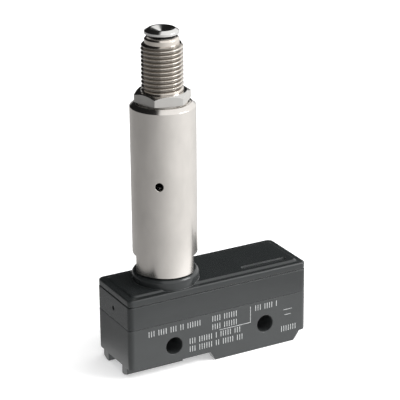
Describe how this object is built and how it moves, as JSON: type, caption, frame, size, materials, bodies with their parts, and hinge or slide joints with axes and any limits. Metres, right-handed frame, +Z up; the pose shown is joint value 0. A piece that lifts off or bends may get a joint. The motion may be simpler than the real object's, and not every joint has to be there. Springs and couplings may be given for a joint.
{
  "type": "limit switch",
  "caption": "Snap-action limit switch: slim black case with two through holes, and a long plated tube with a threaded bush, hex nut and short-stroke plunger.",
  "frame": {"origin": "middle of the footprint, on the plane of the feet", "axes": "+X along the case from the tube end to the plain end, +Y from the printed front face to the back, +Z up along the plunger"},
  "size_m": [0.0492, 0.0174, 0.0834],
  "materials": {
    "black_plastic": "fine matt moulded phenolic, slightly grey",
    "cover_plastic": "semi-gloss moulded phenolic",
    "satin_nickel": "satin nickel plate, turned",
    "nut_nickel": "satin nickel plate",
    "polished_steel": "polished stainless steel",
    "zinc_steel": "zinc-plated steel",
    "spring_steel": "drawn spring wire",
    "dark_steel": "oiled black steel",
    "brass": "bright stamped brass",
    "beryllium_copper": "rolled beryllium copper strip",
    "silver": "silver contact metal",
    "red_phenolic": "dark red moulded phenolic",
    "acetal": "natural acetal",
    "black_rubber": "matt nitrile rubber"
  },
  "bodies": {
    "housing": {"base_case": "black_plastic", "cover": "cover_plastic", "cover_pins": "dark_steel", "com_terminal": "brass", "no_terminal": "brass", "nc_terminal": "brass", "terminal_screws": "zinc_steel", "terminal_washers": "zinc_steel", "blade_bracket": "brass", "no_contact": "silver", "nc_contact": "silver", "tube_gasket": "black_rubber", "actuator_tube": "satin_nickel", "guide_bush": "acetal", "threaded_bush": "satin_nickel", "hex_nut": "nut_nickel", "wiper_ring": "black_rubber", "return_spring": "spring_steel"},
    "plunger": {"plunger_head": "polished_steel", "push_rod": "zinc_steel", "spring_cup": "zinc_steel", "retaining_ring": "dark_steel", "tip_nut": "zinc_steel", "push_tip": "polished_steel"},
    "switch_pin": {"pin_plunger": "red_phenolic"},
    "leaf": {"actuating_leaf": "beryllium_copper"},
    "blade": {"snap_blade": "beryllium_copper", "moving_contact": "silver"},
    "toggle": {"toggle_spring": "beryllium_copper"}
  },
  "joints": [
    {"name": "plunger_slide", "type": "slide", "parent": "housing", "child": "plunger", "axis": [0, 0, -1], "range_m": [0, 0.0007], "stiffness_N_per_m": 500, "springref_m": -0.004, "deforming": ["return_spring"]},
    {"name": "switch_pin_slide", "type": "slide", "parent": "housing", "child": "switch_pin", "axis": [0, 0, -1], "range_m": [0, 0.00075]},
    {"name": "leaf_hinge", "type": "hinge", "parent": "housing", "child": "leaf", "pos_m": [-0.0195, 0, 0.01445], "axis": [0, 1, 0], "range_deg": [0, 4.5]},
    {"name": "blade_hinge", "type": "hinge", "parent": "housing", "child": "blade", "pos_m": [-0.004, 0, 0.01353], "axis": [0, 1, 0], "range_deg": [0, 2.4]},
    {"name": "toggle_hinge", "type": "hinge", "parent": "blade", "child": "toggle", "pos_m": [0.0028, 0, 0.0139], "axis": [0, 1, 0], "range_deg": [-8, 0]}
  ],
  "couplings": [
    {"joint": "switch_pin_slide", "follows": "plunger_slide", "ratio": 1},
    {"joint": "leaf_hinge", "follows": "plunger_slide", "rad_per_m": 108.93},
    {"joint": "blade_hinge", "follows": "plunger_slide", "rad_per_m": 55.556},
    {"joint": "toggle_hinge", "follows": "plunger_slide", "rad_per_m": -169.72}
  ]
}
